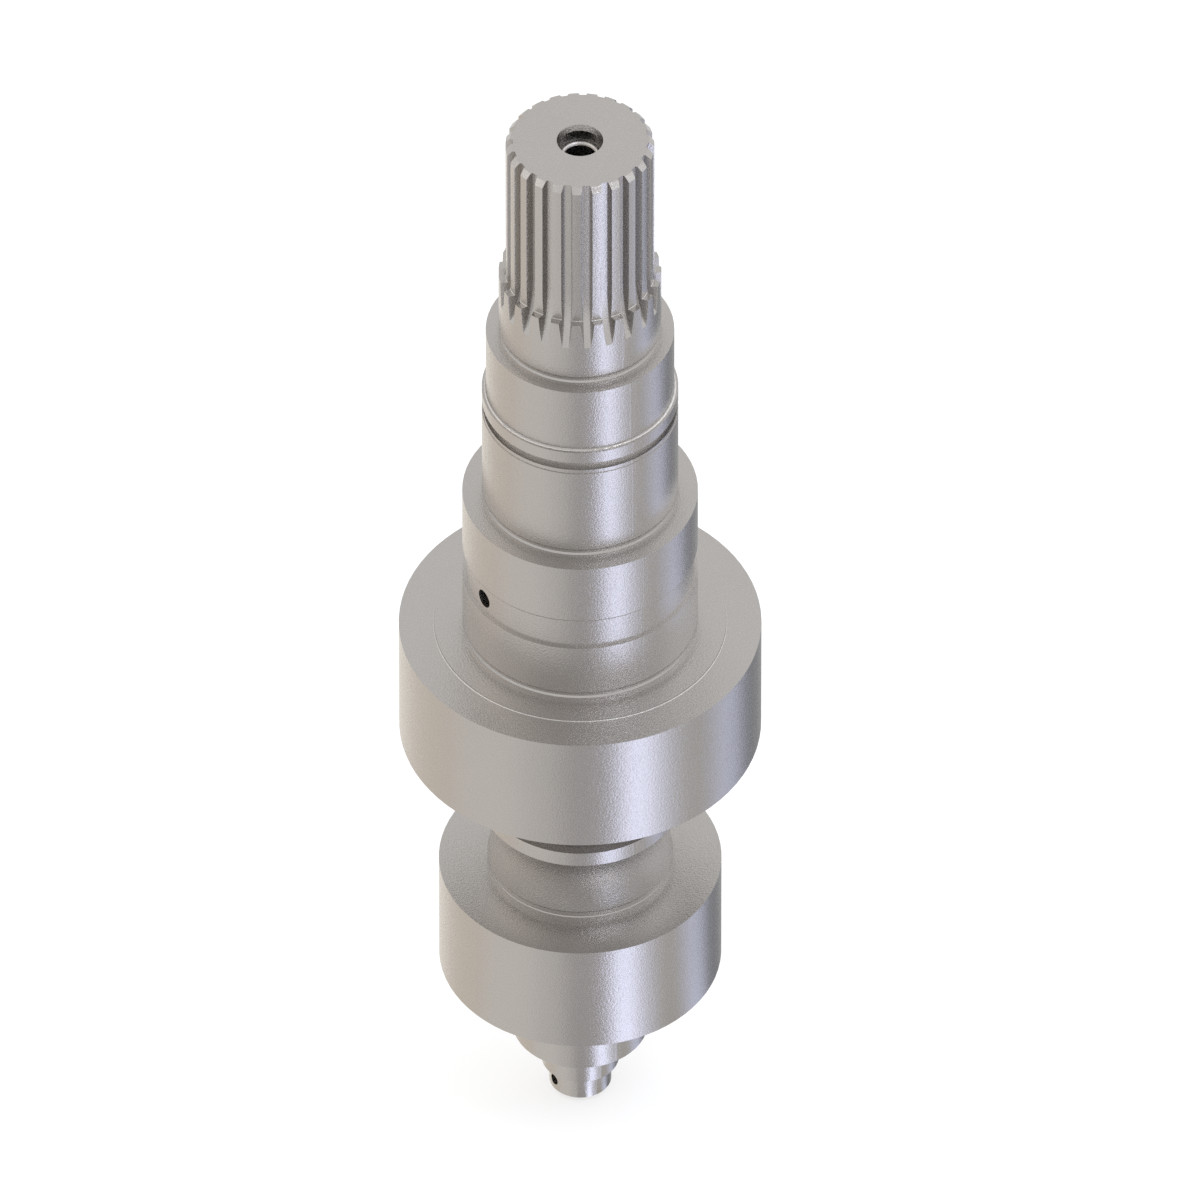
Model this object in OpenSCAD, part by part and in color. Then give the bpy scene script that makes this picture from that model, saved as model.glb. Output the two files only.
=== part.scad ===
// Input shaft: one solid turned from bar, modelled upright with its splined end at the top.
// The shaft's own line is the z axis and z = 0 is the end face of the tail pin.
// The oil hole, the cross hole of the tail pin and one spline gap all face -Y.

/* [Splined end] */
// Number of teeth round the end
spline_teeth = 23; // [18:1:25]
// Diameter over the tooth tips
spline_tip_d = 37.7; // [36.5:0.1:40]
// Diameter at the floor of the gaps
spline_root_d = 34; // [32:0.1:35.5]
// Length from the end face to the first seat
spline_len = 45; // [40:0.5:60]
// Width of a gap at its floor
gap_floor_w = 1.7; // [1:0.05:2]
// Width of a gap between the tooth tips
gap_mouth_w = 2.9; // [2.2:0.05:3.4]
// Length of the gaps before their floor lifts
gap_level_len = 37.4; // [28:0.2:40]
// Radius of the round run-out of each gap
run_out_r = 34; // [25:1:60]
// Chamfer of the tooth ends, along the shaft
tooth_chamfer_len = 1.5; // [0.5:0.1:3]
// Chamfer of the tooth ends, towards the middle
tooth_chamfer_in = 1.25; // [0.5:0.05:1.8]
// Fillet between the tooth tips and the first seat
spline_fillet_r = 0.2; // [0.1:0.1:1]

/* [Seats] */
// Diameter of the seat next to the spline
seat_a_d = 41.3; // [40.5:0.1:46]
// Length of the seat next to the spline
seat_a_len = 20.05; // [16:0.05:30]
// Diameter of the seat below it
seat_b_d = 47.9; // [46.8:0.1:49.4]
// Length of the seat below it
seat_b_len = 19.85; // [10:0.05:30]
// Fillet at the foot of the lower seat
seat_b_fillet_r = 0.5; // [0.1:0.1:0.8]

/* [Bearing journal] */
// Diameter of the journal
journal_d = 50; // [49.8:0.1:56]
// Length of the journal
journal_len = 28.5; // [15:0.5:50]
// Length of the ring above the retaining ring groove
ring_land_len = 3.5; // [2:0.1:8]
// Diameter at the floor of the retaining ring groove
retainer_d = 47; // [44:0.1:49]
// Width of the retaining ring groove
retainer_w = 2.6; // [1.2:0.05:4]
// Diameter of the relieved land below that groove
short_land_d = 49.6; // [49.2:0.05:49.75]
// Length of the relieved land
short_land_len = 1.3; // [0.8:0.1:4]

/* [Collar] */
// Diameter of the collar
collar_d = 60; // [57:0.1:70]
// Length of the collar
collar_len = 45.65; // [36:0.05:70]
// Distance from the collar's top to its oil groove
oil_groove_down = 18.1; // [6:0.1:22]
// Width of the oil groove
oil_groove_w = 9.5; // [7:0.1:10.5]
// Depth of the oil groove
oil_groove_in = 0.9; // [0.3:0.1:2]
// Height of the broken edge above the oil groove
oil_groove_break = 0.4; // [0.1:0.1:1]
// Height of the corner below the relief of the collar
collar_relief_up = 0.9; // [0.2:0.05:2]

/* [Large disc] */
// Diameter of the large disc
disc_a_d = 92.5; // [85:0.5:110]
// Thickness of the large disc
disc_a_len = 34.85; // [20:0.05:50]
// Diameter of the raised land on its upper face
land_d = 74.5; // [68:0.5:82]
// Height of the raised land
land_h = 0.5; // [0.3:0.1:1.5]
// Fillet round the foot of the raised land
land_fillet_r = 0.3; // [0.1:0.1:0.3]

/* [Neck between the discs] */
// Diameter of the upper neck
neck_a_d = 42; // [30:0.5:46]
// Length of the upper neck
neck_a_len = 22.8; // [10:0.1:35]
// Fillet at both ends of the upper neck
neck_a_fillet_r = 1.5; // [0.5:0.1:2]
// Diameter of the ring between the two necks
ring_d = 50.7; // [50:0.1:56]
// Thickness of that ring
ring_len = 4.3; // [2:0.1:8]
// Depth of the hollow in the lower neck, below the ring's edge
hollow_in = 2.3; // [1:0.1:5]
// Distance from the ring to the deepest place of the hollow
throat_down = 11.3; // [8:0.1:14]
// Length of the hollowed lower neck
neck_b_len = 20.55; // [16:0.05:22]
// Height of the corner below the relief of the lower neck
neck_relief_up = 0.85; // [0.2:0.05:1.5]
// Depth of the relief of the lower neck
neck_relief_in = 0.15; // [0.05:0.05:0.4]

/* [Small disc] */
// Diameter of the small disc
disc_b_d = 72.4; // [60:0.1:84]
// Thickness of the small disc
disc_b_len = 32.75; // [20:0.05:50]

/* [Tail] */
// Diameter of the tail journal
tail_d = 35; // [28:0.5:45]
// Length of the tail journal
tail_len = 26.1; // [15:0.1:40]
// Chamfer at the lower edge of the tail journal
tail_chamfer = 0.5; // [0.2:0.1:2]
// Diameter of the spigot below it
spigot_d = 20; // [18:0.1:26]
// Length of the spigot
spigot_len = 11.7; // [6:0.1:20]
// Diameter of the tail pin
pin_d = 16; // [12:0.1:17.5]
// Length of the tail pin
pin_len = 8.8; // [7:0.1:20]
// Chamfer at the end of the tail pin
pin_chamfer = 1.4; // [0.3:0.1:2]
// Diameter of the hole across the tail pin
cross_hole_d = 3; // [2:0.1:4]
// Height of that hole's middle above the end face
cross_hole_z = 4.4; // [3.6:0.1:5.6]

/* [Reliefs at the shoulders] */
// Length of a relief along the shaft
relief_len = 2; // [1.6:0.05:3]
// Depth of a relief below the seat
relief_in = 0.3; // [0.1:0.05:0.4]
// Height of the turned corner left standing between a shoulder and its relief
relief_up = 0.45; // [0.2:0.05:1.5]
// Slope of the upper end of a relief, in degrees
relief_slope = 20; // [15:1:45]
// Slope of the lower end of a relief, in degrees
relief_flank = 30; // [25:1:45]

/* [Holes] */
// Diameter of the tapped bore in the splined end
tapped_d = 8.5; // [6.8:0.1:8.6]
// Depth of the tapped bore
tapped_len = 30; // [15:1:60]
// Diameter of the plain mouth above the tapped bore
mouth_d = 10.5; // [9.6:0.1:11.4]
// Depth of the plain mouth
mouth_len = 5.6; // [3:0.1:9]
// Fillet at the bottom of the plain mouth
mouth_fillet_r = 0.9; // [0.2:0.1:0.9]
// Diameter of the countersink at the end face
sink_d = 11.8; // [11.6:0.1:16]
// Depth of the countersink
sink_len = 1.5; // [0.5:0.1:1.8]
// Diameter of the long oil bore
oil_bore_d = 6; // [4:0.1:6.5]
// Diameter of the oil hole in the side of the collar
oil_hole_d = 5; // [3:0.1:6]
// Distance from the collar's top to the middle of the oil hole
oil_hole_down = 23.4; // [12:0.1:26]

/* [Hidden] */
$fn = 120;
// Overlap of joined regions and overshoot of cuts
eps = 0.5;
over = 1;
// Slope of a drilled step's cone, in degrees
drill_slope = 31;
// How far the long oil bore goes on below the oil hole
oil_bore_past = 2;

spline_tip_r = spline_tip_d / 2;
spline_root_r = spline_root_d / 2;
seat_a_r = seat_a_d / 2;
seat_b_r = seat_b_d / 2;
journal_r = journal_d / 2;
collar_r = collar_d / 2;
oil_groove_r = collar_r - oil_groove_in;
oil_groove_break_in = oil_groove_break / 3;
disc_a_r = disc_a_d / 2;
disc_b_r = disc_b_d / 2;
neck_a_r = neck_a_d / 2;
ring_r = ring_d / 2;
throat_r = ring_r - hollow_in;
short_land_r = short_land_d / 2;
tail_r = tail_d / 2;
spigot_r = spigot_d / 2;
pin_r = pin_d / 2;

// Heights of the shoulders, from the tail pin's end face upwards
spigot_z = pin_len;
tail_z = spigot_z + spigot_len;
disc_b_z = tail_z + tail_len;
neck_b_z = disc_b_z + disc_b_len;
ring_z = neck_b_z + neck_b_len;
neck_a_z = ring_z + ring_len;
disc_a_z = neck_a_z + neck_a_len;
land_z = disc_a_z + disc_a_len;
collar_z = land_z + land_h;
journal_z = collar_z + collar_len;
short_land_z = journal_z + journal_len;
retainer_z = short_land_z + short_land_len;
ring_land_z = retainer_z + retainer_w;
seat_b_z = ring_land_z + ring_land_len;
seat_a_z = seat_b_z + seat_b_len;
spline_z = seat_a_z + seat_a_len;
top_z = spline_z + spline_len;

// The hollow of the lower neck is one arc from the ring's edge through the throat
hollow_r = (throat_down * throat_down + hollow_in * hollow_in) / (2 * hollow_in);
throat_z = ring_z - throat_down;
neck_foot_z = neck_b_z + neck_relief_up + relief_len;
hollow_foot_up = throat_z - neck_foot_z;
hollow_foot_in = hollow_r - sqrt(hollow_r * hollow_r - hollow_foot_up * hollow_foot_up);
neck_foot_r = throat_r + hollow_foot_in;

// A gap is cut to a little above the first seat, so that it runs out in that seat
gap_h = seat_a_r - spline_root_r + over;
gap_slope = (gap_mouth_w - gap_floor_w) / 2 / (spline_tip_r - spline_root_r);
gap_floor_half = gap_floor_w / 2;
gap_outer_half = gap_floor_half + gap_slope * gap_h;
gap_z = top_z - gap_level_len;
run_out_angle = 45;

// Outline of a seat's foot above a shoulder at height z: the corner left standing, its top
// at height z + up, and the relief between that corner and the rest of the wall of radius r
function relief(r, z, up = relief_up, in = relief_in) = [
    [r, z],
    [r, z + up],
    [r - in, z + up + in / tan(relief_flank)],
    [r - in, z + up + relief_len - in / tan(relief_slope)],
    [r, z + up + relief_len]
];

// Half of the lengthwise section without its fillets and without the hollow of the neck
function outline() = concat(
    [
        [0, 0],
        [pin_r - pin_chamfer, 0],
        [pin_r, pin_chamfer],
        [pin_r, spigot_z],
        [spigot_r, spigot_z],
        [spigot_r, tail_z],
        [tail_r - tail_chamfer, tail_z],
        [tail_r, tail_z + tail_chamfer],
        [tail_r, disc_b_z],
        [disc_b_r, disc_b_z],
        [disc_b_r, neck_b_z]
    ],
    relief(neck_foot_r, neck_b_z, neck_relief_up, neck_relief_in),
    [
        [throat_r - eps, neck_foot_z],
        [throat_r - eps, ring_z],
        [ring_r, ring_z],
        [ring_r, neck_a_z],
        [neck_a_r, neck_a_z],
        [neck_a_r, disc_a_z],
        [disc_a_r, disc_a_z],
        [disc_a_r, land_z],
        [land_d / 2, land_z],
        [land_d / 2, collar_z]
    ],
    relief(collar_r, collar_z, collar_relief_up),
    [
        [collar_r, journal_z - oil_groove_down - oil_groove_w],
        [oil_groove_r, journal_z - oil_groove_down - oil_groove_w],
        [oil_groove_r, journal_z - oil_groove_down],
        [collar_r - oil_groove_break_in, journal_z - oil_groove_down],
        [collar_r, journal_z - oil_groove_down + oil_groove_break],
        [collar_r, journal_z]
    ],
    relief(journal_r, journal_z),
    [
        [journal_r, short_land_z],
        [short_land_r, short_land_z],
        [short_land_r, retainer_z],
        [retainer_d / 2, retainer_z],
        [retainer_d / 2, ring_land_z],
        [journal_r, ring_land_z],
        [journal_r, seat_b_z],
        [seat_b_r, seat_b_z],
        [seat_b_r, seat_a_z]
    ],
    relief(seat_a_r, seat_a_z),
    [
        [seat_a_r, spline_z],
        [spline_tip_r, spline_z],
        [spline_tip_r, top_z - tooth_chamfer_len],
        [spline_tip_r - tooth_chamfer_in, top_z],
        [0, top_z]
    ]
);

// Fillet in the corner between a wall at radius r and a shoulder at height z.
// side is 1 outside the wall and -1 inside it, dir is 1 above the shoulder and -1 below it.
module corner_fillet(r, z, fillet_r, side = 1, dir = 1) {
    translate([r, z])
        scale([side, dir])
            difference() {
                translate([-eps, -eps])
                    square([fillet_r + eps, fillet_r + eps]);
                translate([fillet_r, fillet_r])
                    circle(r = fillet_r);
            }
}

// Section of the lower neck, hollowed by one arc
module hollow_neck() {
    difference() {
        translate([throat_r - 2 * eps, neck_foot_z])
            square([hollow_in + 2 * eps, ring_z - neck_foot_z]);
        translate([throat_r + hollow_r, throat_z])
            circle(r = hollow_r);
    }
}

module blank() {
    rotate_extrude() {
        polygon(outline());
        hollow_neck();
        corner_fillet(neck_a_r, neck_a_z, neck_a_fillet_r);
        corner_fillet(neck_a_r, disc_a_z, neck_a_fillet_r, 1, -1);
        corner_fillet(land_d / 2, land_z, land_fillet_r);
        corner_fillet(seat_b_r, seat_b_z, seat_b_fillet_r);
        corner_fillet(spline_tip_r, spline_z, spline_fillet_r);
    }
}

// One gap towards +X: level floor first, then the floor lifts along an arc and runs out
module spline_gap() {
    translate([0, 0, gap_z])
        linear_extrude(height = gap_level_len + over)
            polygon([
                [spline_root_r, -gap_floor_half],
                [spline_root_r + gap_h, -gap_outer_half],
                [spline_root_r + gap_h, gap_outer_half],
                [spline_root_r, gap_floor_half]
            ]);
    translate([spline_root_r + run_out_r, 0, gap_z])
        rotate([90, 0, 0])
            rotate([0, 0, 180])
                rotate_extrude(angle = run_out_angle)
                    polygon([
                        [run_out_r, -gap_floor_half],
                        [run_out_r, gap_floor_half],
                        [run_out_r - gap_h, gap_outer_half],
                        [run_out_r - gap_h, -gap_outer_half]
                    ]);
}

// Tapped bore in the splined end, drilled on as a long oil bore down to the oil hole
module centre_bore() {
    oil_bore_end = journal_z - oil_hole_down - oil_hole_d / 2 - oil_bore_past;
    drill_tip = oil_bore_d / 2 * tan(drill_slope);
    tap_step = (tapped_d - oil_bore_d) / 2 * tan(drill_slope);
    rotate_extrude()
        difference() {
            polygon([
                [0, oil_bore_end - drill_tip],
                [oil_bore_d / 2, oil_bore_end],
                [oil_bore_d / 2, top_z - tapped_len - tap_step],
                [tapped_d / 2, top_z - tapped_len],
                [tapped_d / 2, top_z - mouth_len],
                [mouth_d / 2, top_z - mouth_len],
                [mouth_d / 2, top_z - sink_len],
                [sink_d / 2, top_z],
                [sink_d / 2, top_z + over],
                [0, top_z + over]
            ]);
            corner_fillet(mouth_d / 2, top_z - mouth_len, mouth_fillet_r, -1);
        }
}

module input_shaft() {
    color("#8d8d90")
        difference() {
            blank();
            for (i = [0 : spline_teeth - 1])
                rotate([0, 0, -90 + i * 360 / spline_teeth])
                    spline_gap();
            centre_bore();
            translate([0, 0, journal_z - oil_hole_down])
                rotate([90, 0, 0])
                    cylinder(h = collar_r + over, d = oil_hole_d);
            translate([0, 0, cross_hole_z])
                rotate([90, 0, 0])
                    cylinder(h = pin_d + 2 * over, d = cross_hole_d, center = true);
        }
}

input_shaft();
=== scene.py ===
import math

import bpy
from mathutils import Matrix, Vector

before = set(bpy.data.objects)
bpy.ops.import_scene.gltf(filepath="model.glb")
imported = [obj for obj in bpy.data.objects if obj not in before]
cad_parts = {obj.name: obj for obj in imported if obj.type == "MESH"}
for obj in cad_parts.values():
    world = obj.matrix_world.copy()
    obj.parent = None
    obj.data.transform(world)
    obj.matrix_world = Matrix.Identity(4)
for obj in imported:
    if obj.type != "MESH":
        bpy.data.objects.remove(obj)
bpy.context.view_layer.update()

SCENE = bpy.context.scene
TOTAL_LENGTH = 0.3288
PHOTO_AZIMUTH = 57.2
PHOTO_ELEVATION = 43.24
MM_PER_PIXEL = 0.2548
PHOTO_PIXELS = 1200
# Column of the shaft's axis and row of the middle of its top face in the photograph
AXIS_COLUMN = 580.12
TOP_ROW = 144.0
# Height and radius of the steel walls, foot to top and beyond, that show one line across the floor cards each
WALLS = ((0.0, 0.008), (0.02, 0.012), (0.05, 0.03), (0.1, 0.036), (0.6, 0.019))
# Each floor card lies this much above the one before it
CARD_STEP = 0.0001
FLOOR_SIZE = 30
LAMP_TARGET = Vector((0, 0, 0.17))
LAMP_DISTANCE = 1.5


def linear(hex_colour):
    """sRGB hex to the linear colour that a shader takes."""
    parts = [int(hex_colour[i : i + 2], 16) / 255 for i in (1, 3, 5)]
    return tuple(c / 12.92 if c <= 0.04045 else ((c + 0.055) / 1.055) ** 2.4 for c in parts) + (1.0,)


def add_node(tree, kind, settings=None, links=None):
    """One node with its settings; links maps an input's name or number to an output socket or a value."""
    node = tree.nodes.new(kind)
    for name, value in (settings or {}).items():
        setattr(node, name, value)
    for name, source in (links or {}).items():
        socket = node.inputs[name]
        if isinstance(source, bpy.types.NodeSocket):
            tree.links.new(source, socket)
        else:
            socket.default_value = source
    return node


def direction(azimuth, elevation):
    """Unit vector from the shaft towards a place round it, azimuth counted from -Y towards +X."""
    a, e = math.radians(azimuth), math.radians(elevation)
    return Vector((math.sin(a) * math.cos(e), -math.cos(a) * math.cos(e), math.sin(e)))


def turned_normal(tree, place):
    """The surface's normal without its small part round the axis, so that a highlight runs evenly over a turned wall.

    The mesh's own normals are off by half a facet where a turned wall's surface closes on itself.
    """
    sine_of_half_facet = 0.045
    normal = add_node(tree, "ShaderNodeNewGeometry").outputs["Normal"]
    round_axis = add_node(tree, "ShaderNodeVectorMath", {"operation": "CROSS_PRODUCT"}, {0: place, 1: (0, 0, 1)})
    tangent = add_node(tree, "ShaderNodeVectorMath", {"operation": "NORMALIZE"}, {0: round_axis.outputs[0]})
    share = add_node(
        tree, "ShaderNodeVectorMath", {"operation": "DOT_PRODUCT"}, {0: normal, 1: tangent.outputs[0]}
    ).outputs["Value"]
    small = add_node(tree, "ShaderNodeMath", {"operation": "COMPARE"}, {0: share, 1: 0.0, 2: sine_of_half_facet})
    wrong = add_node(tree, "ShaderNodeMath", {"operation": "MULTIPLY"}, {0: share, 1: small.outputs[0]})
    turn = add_node(
        tree, "ShaderNodeVectorMath", {"operation": "SCALE"}, {0: tangent.outputs[0], "Scale": wrong.outputs[0]}
    )
    mended = add_node(tree, "ShaderNodeVectorMath", {"operation": "SUBTRACT"}, {0: normal, 1: turn.outputs[0]})
    return add_node(tree, "ShaderNodeVectorMath", {"operation": "NORMALIZE"}, {0: mended.outputs[0]}).outputs[0]


def machined_steel():
    """Alloy steel, fine-turned and then fine-blasted.

    The eye gets a satin grey with soft highlight bands down each step, a fine even grain that sparkles in them, and
    a very weak cloudiness in its tone.
    """
    mat = bpy.data.materials.new("satin_machined_steel")
    mat.use_nodes = True
    tree = mat.node_tree
    tree.nodes.clear()
    place = add_node(tree, "ShaderNodeTexCoord")
    grain_mm = 0.5
    cloud_mm = 18
    grain = add_node(
        tree,
        "ShaderNodeTexNoise",
        {"noise_dimensions": "3D"},
        {"Vector": place.outputs["Object"], "Scale": 1000 / grain_mm, "Detail": 2.0, "Roughness": 0.65},
    )
    cloud = add_node(
        tree,
        "ShaderNodeTexNoise",
        {"noise_dimensions": "3D"},
        {"Vector": place.outputs["Object"], "Scale": 1000 / cloud_mm, "Detail": 3.0, "Roughness": 0.55},
    )
    tint = add_node(
        tree,
        "ShaderNodeMixRGB",
        {},
        {"Fac": cloud.outputs["Fac"], "Color1": linear("#B5B1AE"), "Color2": linear("#B0ADAA")},
    )
    rough = add_node(
        tree,
        "ShaderNodeMapRange",
        {},
        {"Value": grain.outputs["Fac"], "From Min": 0.3, "From Max": 0.7, "To Min": 0.24, "To Max": 0.3},
    )
    bump = add_node(
        tree,
        "ShaderNodeBump",
        {},
        {
            "Strength": 1.0,
            "Distance": 0.00008,
            "Height": grain.outputs["Fac"],
            "Normal": turned_normal(tree, place.outputs["Object"]),
        },
    )
    shader = add_node(
        tree,
        "ShaderNodeBsdfPrincipled",
        {},
        {
            "Base Color": tint.outputs["Color"],
            "Metallic": 1.0,
            "Roughness": rough.outputs["Result"],
            "Normal": bump.outputs["Normal"],
        },
    )
    add_node(tree, "ShaderNodeOutputMaterial", {}, {"Surface": shader.outputs["BSDF"]})
    return mat


def seen_directly(tree):
    """1 for what the eye, a reflection or a clear piece shows, 0 for light that bounces on."""
    path = add_node(tree, "ShaderNodeLightPath")
    either = add_node(
        tree,
        "ShaderNodeMath",
        {"operation": "MAXIMUM"},
        {0: path.outputs["Is Camera Ray"], 1: path.outputs["Is Glossy Ray"]},
    )
    return add_node(
        tree,
        "ShaderNodeMath",
        {"operation": "MAXIMUM"},
        {0: either.outputs[0], 1: path.outputs["Is Transmission Ray"]},
    ).outputs[0]


def floor_sheet():
    """White paper under the shaft: matt, so that it keeps a soft shadow, and white to the eye and in the steel."""
    mat = bpy.data.materials.new("white_paper")
    mat.use_nodes = True
    tree = mat.node_tree
    tree.nodes.clear()
    lift_to_white = 0.58
    matt = add_node(tree, "ShaderNodeBsdfDiffuse", {}, {"Color": linear("#B4B4B4")})
    lift = add_node(tree, "ShaderNodeMath", {"operation": "MULTIPLY"}, {0: seen_directly(tree), 1: lift_to_white})
    white = add_node(tree, "ShaderNodeEmission", {}, {"Color": linear("#FFFFFF"), "Strength": lift.outputs[0]})
    both = add_node(tree, "ShaderNodeAddShader", {}, {0: matt.outputs["BSDF"], 1: white.outputs["Emission"]})
    add_node(tree, "ShaderNodeOutputMaterial", {}, {"Surface": both.outputs["Shader"]})
    bpy.ops.mesh.primitive_plane_add(size=FLOOR_SIZE, location=(0, 0, 0))
    floor = bpy.context.object
    floor.name = "floor_sheet"
    floor.data.materials.append(mat)


def floor_card(name, left, right, strength, colour, level):
    """Card that lies on the floor and shows only in the steel, where a wall faces from left to right degrees.

    Degrees count round the shaft from the side of the photograph. A bright card is a reflector, a dull one a flag,
    and each glows evenly to its own level, so that the steel shows it as a soft upright band.
    """
    corners = []
    for height, radius in WALLS:
        out = height / math.tan(math.radians(PHOTO_ELEVATION))
        for turn in (left, right):
            spot = direction(PHOTO_AZIMUTH + turn, 0) * radius + direction(PHOTO_AZIMUTH + 2 * turn, 0) * out
            corners.append(spot + Vector((0, 0, CARD_STEP * level)))
    mesh = bpy.data.meshes.new(name)
    mesh.from_pydata(corners, [], [(i, i + 2, i + 3, i + 1) for i in range(0, len(corners) - 2, 2)])
    card = bpy.data.objects.new(name, mesh)
    SCENE.collection.objects.link(card)
    mat = bpy.data.materials.new(name)
    mat.use_nodes = True
    mat.node_tree.nodes.clear()
    glow = add_node(mat.node_tree, "ShaderNodeEmission", {}, {"Color": linear(colour), "Strength": strength})
    add_node(mat.node_tree, "ShaderNodeOutputMaterial", {}, {"Surface": glow.outputs["Emission"]})
    mesh.materials.append(mat)
    card.visible_camera = False
    card.visible_diffuse = False
    card.visible_shadow = False
    card.visible_transmission = False


def lamp(name, turn, elevation, size, power, colour):
    """Soft rectangular lamp, turned so many degrees from the camera's side, that doesn't show to the camera."""
    towards = direction(PHOTO_AZIMUTH + turn, elevation)
    data = bpy.data.lights.new(name, "AREA")
    data.shape = "RECTANGLE"
    data.size, data.size_y = size
    data.energy = power
    data.color = linear(colour)[:3]
    holder = bpy.data.objects.new(name, data)
    holder.location = LAMP_TARGET + towards * LAMP_DISTANCE
    holder.rotation_mode = "QUATERNION"
    holder.rotation_quaternion = towards.to_track_quat("Z", "Y")
    holder.visible_camera = False
    SCENE.collection.objects.link(holder)


steel = machined_steel()
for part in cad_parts.values():
    for slot in part.material_slots:
        slot.material = steel

floor_sheet()

world = bpy.data.worlds.new("studio")
SCENE.world = world
world.use_nodes = True
world.node_tree.nodes.clear()
# Pure white where the camera sees it, and a little less in the steel
straight = add_node(world.node_tree, "ShaderNodeLightPath").outputs["Is Camera Ray"]
whiteness = add_node(world.node_tree, "ShaderNodeMapRange", {}, {"Value": straight, "To Min": 0.96, "To Max": 1.0})
sky = add_node(
    world.node_tree,
    "ShaderNodeBackground",
    {},
    {"Color": linear("#FFFFFF"), "Strength": whiteness.outputs["Result"]},
)
add_node(world.node_tree, "ShaderNodeOutputWorld", {}, {"Surface": sky.outputs["Background"]})

# The lamps light the faces that look up, and the walls that show those faces
for name, turn, elevation, size, power, colour in (
    ("front_top_box", 0, 44, (1.6, 1.2), 0.5, "#EFF5FF"),
    ("throat_box", 37, 57, (0.45, 0.36), 3.0, "#E8EEFF"),
    ("left_top_box", -76, 44, (1.2, 1.2), 2.5, "#FFF8F0"),
    ("left_back_box", -124, 44, (1.2, 1.2), 3.0, "#FFF8F0"),
    ("right_top_box", 80, 44, (1.2, 1.2), 2.5, "#EFF5FF"),
    ("right_back_box", 124, 44, (1.2, 1.2), 3.8, "#EFF5FF"),
):
    lamp(name, turn, elevation, size, power, colour)

# The cards give the walls their bands: warm on the left, dull in front, a cool bright strip right of it
cards = (
    ("left_edge_card", -92, -66, 1.12, "#FFFAF2"),
    ("left_card", -66, -42, 0.98, "#FFF6EB"),
    ("left_middle_card", -42, -18, 1.01, "#FFFCF8"),
    ("front_fade", -18, -6, 0.87, "#FFFDFB"),
    ("front_flag", -6, 12.5, 0.6, "#FFFCFD"),
    ("bright_strip", 12.5, 22.5, 2.65, "#E0E6FF"),
    ("bright_fade", 22.5, 31, 1.2, "#EDF0FF"),
    ("right_flag", 31, 46, 0.66, "#FFFBF4"),
    ("edge_strip", 46, 59, 1.28, "#E0E6FF"),
    ("far_right_flag", 59, 75, 0.32, "#F4F8FF"),
    ("far_right_edge", 75, 92, 0.5, "#FFFFFF"),
)
for level, (name, left, right, strength, colour) in enumerate(cards, start=1):
    floor_card(name, left, right, strength, colour, level)

# Camera: very long lens, so that the picture has next to no perspective, as the photograph has none
long_lens = 1600
frame_width = PHOTO_PIXELS * MM_PER_PIXEL / 1000
camera_data = bpy.data.cameras.new("photo_camera")
camera_data.lens = long_lens
camera_data.sensor_width = 36
camera_data.clip_start = 1
camera_data.clip_end = 100
camera = bpy.data.objects.new("photo_camera", camera_data)
SCENE.collection.objects.link(camera)
back = direction(PHOTO_AZIMUTH, PHOTO_ELEVATION)
right = direction(PHOTO_AZIMUTH + 90, 0)
axis_left_of_middle = (PHOTO_PIXELS / 2 - AXIS_COLUMN) * MM_PER_PIXEL / 1000
aim_down = (PHOTO_PIXELS / 2 - TOP_ROW) * MM_PER_PIXEL / 1000 / math.cos(math.radians(PHOTO_ELEVATION))
aim = Vector((0, 0, TOTAL_LENGTH - aim_down)) + right * axis_left_of_middle
camera.location = aim + back * (frame_width * long_lens / camera_data.sensor_width)
camera.rotation_mode = "QUATERNION"
camera.rotation_quaternion = (-back).to_track_quat("-Z", "Y")
SCENE.camera = camera
SCENE.view_settings.view_transform = "Standard"
